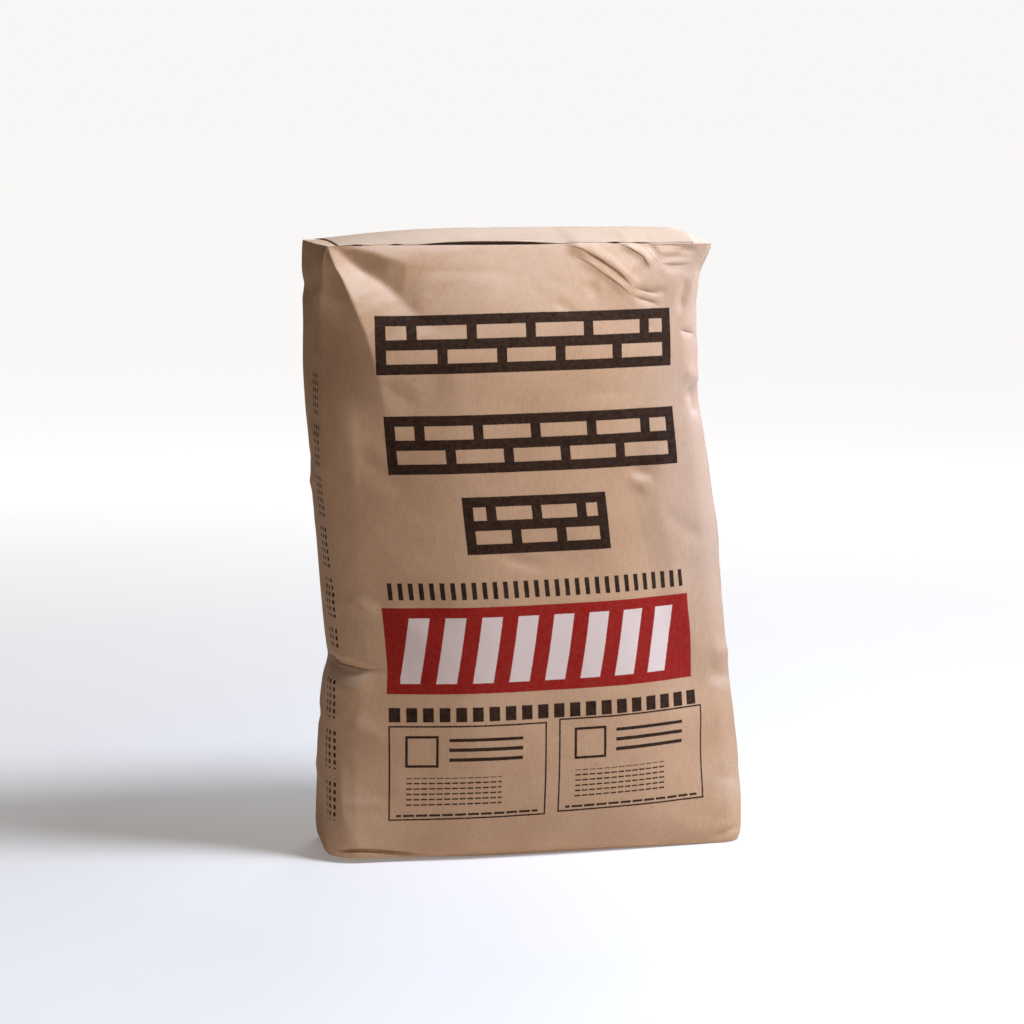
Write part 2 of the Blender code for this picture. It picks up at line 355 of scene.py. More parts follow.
# Where the front turns to the right side, the pinch at the left, and the foot's turned edge
TURNING = [(135, 410), (122, 360), (112, 310), (124, 240), (140, 170), (150, 120)]
PINCH = [(-240, 168), (-219, 166), (-192, 167), (-163, 164), (-137, 163)]
FOOT_EDGE = [(-182, 7.5), (-150, 6.5), (-120, 3.5), (-100, 1.5)]
CREASES = (
    ([(109, 520.5), (116, 516), (121, 506)], 1.8, 5),
    ([(115, 519), (128, 518.5), (144, 518)], 1.4, 6),
    ([(138, 515), (155, 514)], 1.1, 4),
    ([(119, 508), (137, 509), (156, 509)], 0.8, 4),
    ([(114, 505), (105, 497), (96, 489)], 1.1, 7),
    ([(124, 501), (139, 500), (152, 503)], 0.9, 4.5),
    ([(-100, 499.5), (-50, 499), (4, 497)], 0.5, 7),
    ([(150, 492), (145, 474), (145, 458)], 1.6, 8),
    ([(56, 490), (68, 475)], 0.8, 7.5),
    ([(98, 483), (110, 480), (122, 478)], 1, 4.5),
    ([(112, 480.5), (131, 480)], 0.9, 4.5),
    ([(97, 476), (108, 473), (121, 469)], 1, 4.5),
    ([(26, 474), (53, 460)], 0.8, 7),
    ([(142, 447), (162, 443)], 1.3, 5),
    ([(-121, 410), (-105, 397), (-88, 385)], 1.2, 13),
    ([(30, 392), (75, 398), (110, 392)], 0.7, 12),
    ([(-150, 352), (-120, 330), (-108, 305)], 0.9, 14),
    ([(110, 300), (140, 275), (165, 262)], 1, 12),
    ([(-36, 261), (-13, 255), (13, 250)], 1.2, 8),
    ([(-181, 100), (-179, 52), (-176, 15)], -1.6, 8),
    ([(152, 60), (191, 50)], 1, 9),
    ([(-180, 48), (-137, 51)], -0.6, 5),
    ([(148, 3), (165, 9), (186, 15)], 1.6, 6),
)
DENTS = ((-100, 385, 50, 30, 1.6), (98, 328, 12, 8, 1.8))


def folds_in_front():
    """Facets, pleats, creases and dents, placed where the photo shows them."""
    made = blurred(spanned([RIDGE, VALLEY, UPPER_RIDGE], TOP_LEFT_RIM), 2)
    made += fold(TURNING, 2.6, 45, 22, 0.25, 0.3, crest=2, power=1.1)
    made += fold(PINCH, -4.2, 5, 7, 0.3, 0.45, crest=0.4, power=1.1)
    made += fold(FOOT_EDGE, -5, 2.2, 1.5, 0.15, 0.35, crest=0.2, power=1.0)
    for make, table in ((fold, FOLDS), (crease, CREASES), (dent, DENTS)):
        for values in table:
            made += make(*values)
    return made


def random_folds(seed, count, low, high, middle, spread, reach, tilt, depth, width):
    """Small straight folds at random places of a part of the wall."""
    rng = np.random.default_rng(seed)
    made = np.zeros(ACROSS.shape)
    for _ in range(count):
        height = rng.uniform(low, high)
        centre = middle + rng.uniform(-spread, spread)
        half = rng.uniform(reach / 3, reach)
        rise = half * rng.uniform(-tilt, tilt)
        ends = [(centre - half, height - rise), (centre + half, height + rise)]
        made += fold(ends, rng.uniform(-depth, 0.7 * depth), width, width, 0.3, 0.3)
    return made


def folds_on_sides_and_back():
    """Gusset lines down both side walls, and wrinkles of the sides and the back."""
    made = np.zeros(ACROSS.shape)
    for side in (-1, 1):
        line = [(side * 222, 20), (side * 217, 250), (side * 216, 500)]
        made += fold(line, -1.4, 10, 10, 0.2, 0.2)
        made += random_folds(20 + side, 12, 50, 480, side * 225, 35, 40, 0.5, 2.6, 9)
        made += random_folds(30 + side, 16, 30, 500, side * 350, 90, 60, 0.9, 2.8, 10)
    return made


def undulation():
    """Broad soft swellings and hollows, as the powder leaves them under the paper."""
    rng = np.random.default_rng(5)
    made = np.zeros(ACROSS.shape)
    for _ in range(70):
        across, height = rng.uniform(-420, 420), rng.uniform(20, 500)
        reach_across, reach_height = rng.uniform(20, 60), rng.uniform(20, 60)
        made += dent(across, height, reach_across, reach_height, rng.uniform(-1.3, 1.3))
    return made * smooth_share(HEIGHT, 0, 0.04) * smooth_share(SACK_HEIGHT - HEIGHT, 0, 0.03)


def crumple():
    """Flat little facets all over, strongest by the corners and below the head."""
    by_corner = 1 - smooth_share(np.abs(np.abs(ACROSS) - 0.175), 0.01, 0.09)
    by_head = smooth_share(HEIGHT, 0.40, 0.50)
    strength = 0.35 + 0.45 * by_corner + 0.35 * by_head
    fading = smooth_share(SACK_HEIGHT - HEIGHT, 0, 0.02) * smooth_share(HEIGHT, 0, 0.02)
    large = facets(11, 0.046) * 0.0016
    small = facets(12, 0.019) * 0.0005
    return (large + small) * strength * (0.25 + 0.75 * fading)


def blurred(values, times):
    """Values of the wall, each mixed with its four neighbours."""
    for _ in range(times):
        above = np.vstack([values[1:], values[-1:]])
        below = np.vstack([values[:1], values[:-1]])
        beside = np.roll(values, 1, axis=1) + np.roll(values, -1, axis=1)
        values = 0.4 * values + 0.15 * (above + below + beside)
    return values


# How far each end of the sack stands out to +X, by height, in millimetres
LEFT_END = [(0, 4.5), (4, 2.5), (15, 1.2), (40, 0), (58, -0.5), (92, -2.2), (127, -3.8), (150, -2.5),
            (163, 2), (180, 1.2), (247, 0.6), (350, 0), (428, -1.5), (470, -2.2), (500, -0.5), (520, 2.2)]
RIGHT_END = [(0, -3), (6, -1), (15, 0), (178, -0.5), (213, -1.5), (247, -0.9), (281, 0.2), (316, 1),
             (350, 0), (385, -3.4), (428, -2.8), (470, -6.4), (498, -5.2), (510, 0), (520, 2.6)]

# How far the foot's left end sags outwards, by depth, in millimetres
FOOT_SAG = [(-55, 0), (-45, 2.5), (-35, 5.5), (-20, 6), (0, 4.2), (30, 1.5), (55, 0)]

HEAD_CORNER_FORWARD = 0.0020  # how far the head's right corner stands out to the front
FOOT_CORNER_LIFT = 0.0036  # how far the foot's left corner is lifted


def end_shift(places):
    """An end's shift at each row, with its corners rounded a little."""
    heights, shifts = np.transpose(places) / 1000
    shift = np.interp(HEIGHTS, heights, shifts)
    for _ in range(3):
        inner = (shift[:-2] + 2 * shift[1:-1] + shift[2:]) / 4
        shift = np.concatenate([shift[:1], inner, shift[-1:]])
    return shift[:, None]


def end_moves():
    """Both ends pulled in and out, and the foot's left corner lifted and sagging."""
    moved = np.zeros(smooth_wall.shape)
    x, y = smooth_wall[..., 0], smooth_wall[..., 1]
    right = smooth_share(x, 0.085, 0.150)
    left = 1 - smooth_share(x, -0.170, -0.110)
    front = 1 - smooth_share(y, -0.045, 0.045)
    moved[..., 0] = left * end_shift(LEFT_END) + right * end_shift(RIGHT_END)
    top = smooth_share(HEIGHT, 0.495, 0.519)
    moved[..., 1] -= HEAD_CORNER_FORWARD * right * top * front
    low_left = 1 - smooth_share(x, -0.185, -0.020)
    lowest = 1 - smooth_share(HEIGHT, 0.0, 0.045)
    moved[..., 2] += FOOT_CORNER_LIFT * low_left * lowest * (0.4 + 0.6 * front)
    depths, sags = np.transpose(FOOT_SAG) / 1000
    at_left_end = 1 - smooth_share(x, -0.175, -0.150)
    moved[..., 0] -= np.interp(y, depths, sags) * at_left_end * lowest
    return moved


# The chamfer under the head's left corner
CHAMFER_LOW = 0.325
CHAMFER_FULL = 0.470
CHAMFER_FADE = 0.060  # how far below the head's crease it starts to fade
CHAMFER_PUSH = (0.0036, 0.013, 0)  # how far its side crease is pushed in and back
CHAMFER_SIDE_REACH = 0.034
CHAMFER_HOLLOW = (0, 0.0036, 0)
CHAMFER_VALLEY = 0.58  # where its hollow lies, from the side crease to the ridge


def place_on_row(row, across):
    order = np.argsort(ACROSS[row])
    return np.array([np.interp(across, ACROSS[row][order], wall[row][order, axis]) for axis in range(3)])


def cut_chamfer():
    """Flattens the paper between the ridge and the side crease into one facet."""
    ridge_across, ridge_height, _ = np.transpose(RIDGE) / 1000
    crease_across, crease_height = np.transpose(SIDE_CREASE) / 1000
    for row, height in enumerate(HEIGHTS):
        flat = smooth_share(height, CHAMFER_LOW, CHAMFER_FULL)
        if flat <= 0:
            continue
        pushed = smooth_share(SACK_HEIGHT - height, 0, CHAMFER_FADE) * flat
        ridge = np.interp(height, ridge_height, ridge_across)
        side = np.interp(height, crease_height, crease_across)
        end = side - CHAMFER_SIDE_REACH
        side_place = place_on_row(row, side) + np.array(CHAMFER_PUSH) * pushed
        spans = ((side, ridge, side_place, place_on_row(row, ridge), flat),
                 (end, side, place_on_row(row, end), side_place, 0))
        for low, high, low_place, high_place, hollow in spans:
            inside = (ACROSS[row] > low) & (ACROSS[row] <= high)
            share = ((ACROSS[row] - low) / (high - low))[inside, None]
            deep = np.minimum(share / CHAMFER_VALLEY, (1 - share) / (1 - CHAMFER_VALLEY))
            cut = low_place + (high_place - low_place) * share
            cut = cut + np.array(CHAMFER_HOLLOW) * deep**1.3 * hollow
            wall[row][inside] += (cut - wall[row][inside]) * flat


detail = folds_in_front() + folds_on_sides_and_back() + undulation()
wall = smooth_wall + NORMAL * detail[..., None] + end_moves()
cut_chamfer()
wall += outward(wall) * blurred(crumple(), 1)[..., None]
wall[..., 2] = np.maximum(wall[..., 2], FOOT_Z)


# Mesh building


def loop_sides(row):
    """The four sides of one row of the wall: front, right, back and left, ends included."""
    closed = np.vstack([row, row[:1]])
    first, second = COLUMNS_ACROSS, COLUMNS_ACROSS + COLUMNS_DEEP
    front = closed[: first + 1]
    right = closed[first : second + 1]
    back = closed[second : second + COLUMNS_ACROSS + 1][::-1]
    left = closed[second + COLUMNS_ACROSS :][::-1]
    return front, right, back, left


def end_patch(row):
    """A surface spanned between the four sides of a row, as (deep, across) points."""
    front, right, back, left = loop_sides(row)
    u = np.linspace(0, 1, COLUMNS_ACROSS + 1)[None, :, None]
    v = np.linspace(0, 1, COLUMNS_DEEP + 1)[:, None, None]
    between = (1 - v) * front[None] + v * back[None]
    beside = (1 - u) * left[:, None] + u * right[:, None]
    corners = (1 - u) * (1 - v) * front[0] + u * (1 - v) * front[-1]
    corners = corners + (1 - u) * v * back[0] + u * v * back[-1]
    return between + beside - corners


def head_crown():
    """Rise of the head over its crease."""
    arch = np.where(SHARES_ACROSS > 0, HEAD_ARCH_RIGHT, HEAD_ARCH_LEFT)
    return HEAD_CROWN * (1 - np.abs(SHARES_ACROSS) ** arch) * (1 - SHARES_DEEP[:, None] ** 2)


# Loose stretches of the head cover's front edge: middle, reach and lift in millimetres
LOOSE_EDGES = [(-158, 12, 1), (-126, 8, 1), (62, 10, 1.5), (86, 14, 1), (136, 8, 1.2)]
GAP_LEFT, GAP_RIGHT, GAP_LIFT = -0.108, 0.014, 0.0034  # the widest one, in metres


def slit_lift(x):
    """How far the head cover's front edge stands off the crease."""
    in_gap = np.clip((x - GAP_LEFT) / (GAP_RIGHT - GAP_LEFT), 0, 1)
    lift = GAP_LIFT * np.maximum(np.sin(np.pi * in_gap), 0) ** 0.8
    for middle, reach, height in LOOSE_EDGES:
        lift = lift + height / 1000 * bump_share(1000 * x, middle, reach)
    return lift


def mesh_object(name, points, faces, material):
    mesh = bpy.data.meshes.new(name)
    mesh.from_pydata([tuple(point) for point in points], [], faces)
    mesh.update()
    mesh.shade_smooth()
    mesh.materials.append(material)
    made = bpy.data.objects.new(name, mesh)
    bpy.context.scene.collection.objects.link(made)
    return made


def ring_faces(rows, columns):
    """Faces of a closed tube of rows, each with the same number of columns."""
    faces = []
    for row in range(rows - 1):
        low, high = row * columns, (row + 1) * columns
        for column in range(columns):
            after = (column + 1) % columns
            faces.append((low + column, low + after, high + after, high + column))
    return faces


def patch_ids(row_start, first_inner):
    """Vertex numbers of an end patch: its border is a row of the wall, its inside is new."""
    ids = np.zeros((COLUMNS_DEEP + 1, COLUMNS_ACROSS + 1), int)
    ring = row_start + np.arange(LOOP)
    front, right, back, left = loop_sides(ring[:, None])
    ids[0], ids[-1] = front[:, 0], back[:, 0]
    ids[:, 0], ids[:, -1] = left[:, 0], right[:, 0]
    ids[1:-1, 1:-1] = first_inner + np.arange(INNER).reshape(COLUMNS_DEEP - 1, -1)
    return ids


def patch_faces(ids, upward=True):
    faces = []
    for v in range(ids.shape[0] - 1):
        for u in range(ids.shape[1] - 1):
            face = (ids[v, u], ids[v, u + 1], ids[v + 1, u + 1], ids[v + 1, u])
            faces.append(tuple(int(i) for i in (face if upward else face[::-1])))
    return faces


def sheet_object(name, points, material, paper):
    """A sheet of paper on a grid of points."""
    ids = np.arange(points.shape[0] * points.shape[1]).reshape(points.shape[:2])
    made = mesh_object(name, points.reshape(-1, 3), patch_faces(ids), material)
    return thicken(made, paper)


def thicken(made, paper):
    """Gives an open sheet the thickness of its paper, outwards."""
    solidify = made.modifiers.new("paper", "SOLIDIFY")
    solidify.thickness = paper
    solidify.offset = 1
    graph = bpy.context.evaluated_depsgraph_get()
    mesh = bpy.data.meshes.new_from_object(made.evaluated_get(graph), depsgraph=graph)
    made.modifiers.clear()
    made.data = mesh
    return made


HALF_ROUND = 0.4  # wider than any face, so a face this wide spans the place where the map starts


def flat_map(mesh, flat, perimeter):
    """Stores each face corner's place on the flat paper as a UV map, in metres."""
    corners = np.zeros(len(mesh.loops), int)
    mesh.loops.foreach_get("vertex_index", corners)
    values = flat[corners].copy()
    quads = values[:, 0].reshape(-1, 4)
    around = perimeter[corners].reshape(-1, 4)
    spread = quads.max(1) - quads.min(1)
    across_seam = (spread > HALF_ROUND)[:, None] & (quads < 0)
    values[:, 0] = np.where(across_seam, quads + around, quads).reshape(-1)
    layer = mesh.uv_layers.new(name="flat_paper")
    layer.data.foreach_set("uv", values.astype(np.float32).reshape(-1))


HOLLOW_PLACE = (-0.86, 0.30)  # where the head sinks under a loose strip, and how far
HOLLOW_DEPTH = 0.9  # as a share of the strip's lift


def make_sack(material):
    """The filled paper sack as one closed body."""
    rows = len(wall)
    head = end_patch(wall[-1])
    deep = SHARES_DEEP[:, None]
    front_gap = slit_lift(head[..., 0]) * bump_share(deep, *HOLLOW_PLACE)
    head[..., 2] += head_crown() - HOLLOW_DEPTH * front_gap * (deep > -1)
    foot = end_patch(wall[0])
    points = np.vstack([wall.reshape(-1, 3), head[1:-1, 1:-1].reshape(-1, 3),
                        foot[1:-1, 1:-1].reshape(-1, 3)])
    head_ids = patch_ids((rows - 1) * LOOP, rows * LOOP)
    foot_ids = patch_ids(0, rows * LOOP + INNER)
    faces = ring_faces(rows, LOOP) + patch_faces(head_ids) + patch_faces(foot_ids, False)
    made = mesh_object("sack_paper", points, faces, material)
    on_wall = np.stack([ACROSS.reshape(-1), HEIGHT.reshape(-1)], -1)
    on_head = head[1:-1, 1:-1, :2].reshape(-1, 2) + (0, 2)
    on_foot = foot[1:-1, 1:-1, :2].reshape(-1, 2) - (0, 2)
    around = np.broadcast_to(PERIMETER, ACROSS.shape).reshape(-1)
    around = np.concatenate([around, np.ones(2 * INNER)])
    flat_map(made.data, np.vstack([on_wall, on_head, on_foot]), around)
    sharp_creases(made.data, rows)
    return made, head


def sharp_creases(mesh, rows):
    """Marks the head's and the foot's creases sharp, so that their shading breaks there."""
    last = (rows - 1) * LOOP
    keys = np.zeros(len(mesh.edges) * 2, int)
    mesh.edges.foreach_get("vertices", keys)
    keys = keys.reshape(-1, 2)
    on_head = ((keys >= last) & (keys < last + LOOP)).all(1)
    on_foot = (keys < LOOP).all(1)
    sharp = mesh.attributes.new("sharp_edge", "BOOLEAN", "EDGE")
    sharp.data.foreach_set("value", on_head | on_foot)


COVER_GRID = (153, 30)  # points along the strip and over its width
COVER_FRONT, COVER_REACH = -0.985, 1.95  # in half depths of the head
COVER_LOOSE = 0.30  # the share of the strip that a loose edge lifts
COVER_WOBBLE = 0.0008  # how crooked its long edges are


def make_head_cover(head, material):
    """The strip of paper pasted over the head, loose along parts of its front edge."""
    low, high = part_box("head_cover")
    columns, rows = COVER_GRID
    xs = np.linspace(low.x, high.x, columns)
    head_x = head[COLUMNS_DEEP // 2][:, 0]
    rng = np.random.default_rng(3)
    wobble = np.interp(xs, np.linspace(low.x, high.x, 20), rng.uniform(-1, 1, 20))
    points = []
    for row in range(rows):
        share = row / (rows - 1)
        index = (COVER_FRONT + COVER_REACH * share + 1) / 2 * COLUMNS_DEEP
        base, part = int(index), index - int(index)
        line = head[base] * (1 - part) + head[min(base + 1, COLUMNS_DEEP)] * part
        y = np.interp(xs, head_x, line[:, 1]) + wobble * COVER_WOBBLE * abs(1 - 2 * share) ** 6
        z = np.interp(xs, head_x, line[:, 2]) + COVER_CLEARANCE * min(1, 0.15 + share / 0.08)
        loose = np.clip(1 - share / COVER_LOOSE, 0, 1) ** 1.3
        points.append(np.stack([xs, y, z + slit_lift(xs) * loose], -1))
    return sheet_object("head_cover_strip", np.array(points), material, COVER_PAPER)


FOOT_GRID = (103, 31)


def make_foot_cover(material):
    """The strip pasted under the foot, which follows the sack's underside."""
    foot = end_patch(wall[0])
    xs = np.linspace(foot_low.x, foot_high.x, FOOT_GRID[0])
    ys = np.linspace(foot_low.y, foot_high.y, FOOT_GRID[1])
    depths = foot[:, COLUMNS_ACROSS // 2, 1]
    heights = np.array([np.interp(xs, row[:, 0], row[:, 2]) for row in foot])
    z = np.array([np.interp(ys, depths, column) for column in heights.T]).T
    strip = np.stack([*np.meshgrid(xs, ys), z - FOOT_CLEARANCE - COVER_PAPER], -1)
    return sheet_object("foot_cover_strip", strip, material, COVER_PAPER)


SEAM_MIDDLE = 0.277  # metres round the paper from the front's middle line
SEAM_WIDTH = 0.026
SEAM_PAPER = 0.0004
SEAM_LIFT = 0.0006  # the seam's inner side over the sack's


def make_back_seam(material):
    """The pasted overlap that closes the paper tube, down the back."""
    middle_row = len(wall) // 2
    columns = np.nonzero(np.abs(ACROSS[middle_row] - SEAM_MIDDLE) < SEAM_WIDTH / 2)[0]
    lifted = wall + outward(wall) * SEAM_LIFT
    return sheet_object("back_seam", lifted[1:-1][:, columns], material, SEAM_PAPER)


VALVE_PAPER = 0.0003
VALVE_ROW = 0.5135  # the height of the wall's row that it comes through
VALVE_DROP = 0.0055  # how far its middle lies below the head's crease
VALVE_RAGGED = 0.0006  # how uneven its outermost ring is
VALVE_STEPS = ((-16, 0.4), (-4, 0.8), (1.5, 1.3), (4, 1.7), (5.2, 2.1))  # out and half gape, in mm


def make_valve_mouth(material):
    """The flattened mouth of the valve, which gapes a little out of the side wall."""
    row = int(np.argmin(np.abs(HEIGHTS - VALVE_ROW)))
    side = wall[row][COLUMNS_ACROSS : COLUMNS_ACROSS + COLUMNS_DEEP + 1]
    turns = np.linspace(0, 2 * np.pi, 48, endpoint=False)
    lip = np.sin(turns)
    y = np.cos(turns) * VALVE_WIDTH / 2
    wall_x = np.interp(y, side[:, 1], side[:, 0])
    rings = []
    for out, half_gape in np.array(VALVE_STEPS) / 1000:
        z = HEAD_Z - VALVE_DROP + half_gape * np.sign(lip) * np.abs(lip) ** 0.6
        ragged = VALVE_RAGGED * np.sin(5 * turns) * (out > 0.005)
        rings.append(np.stack([wall_x + out + ragged, y, z], -1))
    faces = [face[::-1] for face in ring_faces(len(rings), len(turns))]
    mouth = mesh_object("valve_mouth", np.array(rings).reshape(-1, 3), faces, material)
    return thicken(mouth, VALVE_PAPER)


CEMENT_UNDER = 0.0040  # how far the powder lies under the paper
CEMENT_BOTTOM, CEMENT_TOP = 0.003, SACK_HEIGHT - 0.008


def make_cement(material):
    """The powder inside, a little under the paper."""
    inside = (HEIGHTS > CEMENT_BOTTOM) & (HEIGHTS < CEMENT_TOP)
    inner = (wall - NORMAL * CEMENT_UNDER)[inside][:, ::4]
    rows, columns = inner.shape[:2]
    faces = ring_faces(rows, columns)
    faces.append(tuple(range(columns))[::-1])
    faces.append(tuple(range((rows - 1) * columns, rows * columns)))
    return mesh_object("cement_powder", inner.reshape(-1, 3), faces, material)


# Materials


class Nodes:
    """Short calls for building one material's node tree."""

    def __init__(self, name):
        self.material = bpy.data.materials.new(name)
        self.material.use_nodes = True
        self.tree = self.material.node_tree
        self.shader = self.tree.nodes["Principled BSDF"]
        self.place = self.add("ShaderNodeTexCoord").outputs["Object"]

    def add(self, kind, *values, **settings):
        """A node with numbers or links in its first sockets."""
        node = self.tree.nodes.new(kind)
        for key, value in settings.items():
            setattr(node, key, value)
        for socket, value in enumerate(values):
            self.feed(node, socket, value)
        return node

    def feed(self, node, socket, value):
        if isinstance(value, bpy.types.NodeSocket):
            self.tree.links.new(value, node.inputs[socket])
        else:
            node.inputs[socket].default_value = value

    def math(self, operation, *values, clamp=False):
        return self.add("ShaderNodeMath", *values, operation=operation, use_clamp=clamp).outputs[0]

    def plus(self, first, second):
        return self.math("ADD", first, second)

    def minus(self, first, second):
        return self.math("SUBTRACT", first, second)

    def times(self, first, second):
        return self.math("MULTIPLY", first, second)

    def apart(self, first, second):
        return self.math("ABSOLUTE", self.minus(first, second))

    def least(self, *values):
        return reduce(lambda first, second: self.math("MINIMUM", first, second), values)

    def most(self, *values):
        return reduce(lambda first, second: self.math("MAXIMUM", first, second), values)

    def mix(self, share, first, second):
        node = self.add("ShaderNodeMix", data_type="RGBA")
        self.feed(node, 0, share)
        self.feed(node, 6, first)
        self.feed(node, 7, second)
        return node.outputs[2]

    def choose(self, second_where, first, second):
        """The first number, or the second where the share is 1."""
        node = self.add("ShaderNodeMix", data_type="FLOAT")
        self.feed(node, 0, second_where)
        self.feed(node, 2, first)
        self.feed(node, 3, second)
        return node.outputs[0]

    def noise(self, scale, detail, roughness=0.5, distortion=0.0, vector=None):
        node = self.add("ShaderNodeTexNoise", vector or self.place)
        settings = {"Scale": scale, "Detail": detail, "Roughness": roughness, "Distortion": distortion}
        for socket, value in settings.items():
            self.feed(node, socket, value)
        return node.outputs

    def remap(self, value, low, high, to_low=0.0, to_high=1.0):
        return self.add("ShaderNodeMapRange", value, low, high, to_low, to_high).outputs[0]

    def stretched(self, scale):
        node = self.add("ShaderNodeMapping", self.place)
        self.feed(node, "Scale", scale)
        return node.outputs[0]

    def split(self, vector):
        return self.add("ShaderNodeSeparateXYZ", vector).outputs

    def line(self, x, z, x_share, z_share, start):
        """A number that grows evenly across a plane."""
        return self.math("MULTIPLY_ADD", x, x_share, self.plus(self.times(z, z_share), start))

    def ink(self, inside, soft=0.4):
        """1 where a distance inside a shape is positive, with a soft edge."""
        return self.math("ADD", self.math("DIVIDE", inside, soft), 0.5, clamp=True)

    def box(self, x, z, x0, x1, z0, z1):
        """Distance inside a rectangle, negative outside."""
        return self.least(self.minus(x, x0), self.minus(x1, x), self.minus(z, z0), self.minus(z1, z))

    def outline(self, inside, thickness):
        """Distance inside a line of a thickness round a shape's edge."""
        return self.minus(thickness / 2, self.math("ABSOLUTE", inside))

    def stripes(self, value, start, pitch, width):
        """Distance inside stripes of a width, a pitch apart."""
        part = self.math("FRACT", self.math("DIVIDE", self.minus(value, start), pitch))
        return self.minus(width / 2, self.apart(self.times(part, pitch), pitch / 2))


# The print: left, right, bottom and top of each part, in millimetres, and a brick's width
BRICK_LINE = 8.6
COURSES = [(-123, 132.5, 416.5, 465, 50.2), (-119.5, 133.5, 333, 381.8, 49), (-61, 63.5, 264.5, 313, 39)]
TICK_ROW = (-134.5, 133.5, 226.5, 241)
PANEL = (-138.8, 134.5, 146.2, 219.8)
STRIPED = (-127.5, 123.5, 155, 211)
LAST_STRIPE = 78  # where the slanted stripes end
STRIPE_SLANT = 0.22
SQUARE_ROW = (-140, 140, 122.2, 134.5)
DATA_BOXES = [(-137.5, -4.5, 38.5, 118.5), (7.5, 142.5, 40, 120.5)]
PRINT_TILT = 0.015  # rise of the printed lines to the right
SIDE_MARKS = (-204, -184, 30, 415)
SIDE_PAUSE = (167, 10)  # the bare place of the side marks, and how far it reaches


def bricks(n, x, z, x0, x1, z0, z1, width, line):
    """Two courses of bricks drawn in thick lines."""
    inside = n.box(x, z, x0, x1, z0, z1)
    bed_z = (z0 + z1) / 2
    upper = n.math("GREATER_THAN", z, bed_z)
    shift = n.times(upper, width / 2)
    joints = n.stripes(n.plus(x, shift), x0 + line / 2 - width / 2, width, line)
    bed = n.minus(line / 2, n.apart(z, bed_z))
    frame_line = n.minus(line, inside)
    return n.least(inside, n.most(joints, bed, frame_line))


def data_box(n, x, z, x0, x1, z0, z1):
    """A thin frame with a small square, a few bars and rows of fine dashes in it."""
    frame_line = n.outline(n.box(x, z, x0, x1, z0, z1), 1.4)
    square = n.outline(n.box(x, z, x0 + 14, x0 + 40, z1 - 34, z1 - 9), 2.2)
    bars = n.least(n.box(x, z, x0 + 50, x1 - 20, z1 - 32.5, z1 - 10.5), n.stripes(z, z1 - 33, 8.5, 3))
    dashes = n.least(n.box(x, z, x0 + 14, x1 - 38, z0 + 10, z0 + 36),
                     n.stripes(z, z0 + 6, 4.6, 1.3), n.stripes(x, x0, 6.5, 5.2))
    foot_line = n.least(n.box(x, z, x0 + 6, x1 - 6, z0 + 2.5, z0 + 4.5), n.stripes(x, x0, 11, 9.4))
    return n.most(frame_line, square, bars, dashes, foot_line)


def printed_marks(n, x, z):
    """Dark and red and white print, as three masks. All marks are plain shapes."""
    pause, reach = SIDE_PAUSE
    side_marks = n.least(n.box(x, z, *SIDE_MARKS), n.minus(n.apart(z, pause), reach),
                         n.stripes(x, -204.5, 7, 3.2), n.stripes(z, 30, 6.2, 3.6), n.stripes(z, 30, 43, 35))
    level = n.minus(z, n.times(x, PRINT_TILT))
    dark = [side_marks]
    for x0, x1, z0, z1, width in COURSES:
        dark.append(bricks(n, x, level, x0, x1, z0, z1, width, BRICK_LINE))
    dark.append(n.least(n.box(x, level, *TICK_ROW), n.stripes(x, TICK_ROW[0], 8.9, 4)))
    dark.append(n.least(n.box(x, level, *SQUARE_ROW), n.stripes(x, SQUARE_ROW[0], 14, 9.2)))
    for place in DATA_BOXES:
        dark.append(data_box(n, x, level, *place))
    slanted = n.minus(x, n.times(level, STRIPE_SLANT))
    white = n.least(n.box(x, level, *STRIPED), n.stripes(slanted, -138.5, 31, 17.5),
                    n.minus(LAST_STRIPE, slanted))
    return n.ink(n.most(*dark)), n.ink(n.box(x, level, *PANEL)), n.ink(white)


def kraft_colour(n, light, dark):
    """Brown paper: soft clouds, fibres along the machine direction, and dark flecks."""
    clouds = n.noise(14.0, 4.0, 0.6)[0]
    colour = n.mix(n.remap(clouds, 0.32, 0.70), dark, light)
    fibres = n.noise(1.0, 2.0, 0.6, vector=n.stretched((900.0, 900.0, 130.0)))[0]
    colour = n.mix(n.remap(fibres, 0.35, 0.75, 0.0, 0.18), colour, FIBRE)
    flecks = n.noise(1.0, 1.0, 0.4, vector=n.stretched((420.0, 420.0, 1100.0)))[0]
    return n.mix(n.remap(flecks, 0.68, 0.78, 0.0, 0.45), colour, FLECK)


def dusted_and_lit(n, colour, strength):
    """Pale cement dust together with a painted highlight, where the paper faces upwards, and none by the
    floor.
    """
    _, _, upward = n.split(n.add("ShaderNodeNewGeometry").outputs["Normal"])
    _, _, z = n.split(n.place)
    patches = n.remap(n.noise(60.0, 4.0, 0.6)[0], 0.30, 0.70, 0.6, 1.0)
    dust_and_highlight_share = n.times(n.remap(upward, 0.08, 0.42, 0.0, strength), patches)
    dust_and_highlight_share = n.times(dust_and_highlight_share, n.remap(z, 0.010, 0.050))
    return n.mix(dust_and_highlight_share, colour, DUST_AND_HIGHLIGHT)


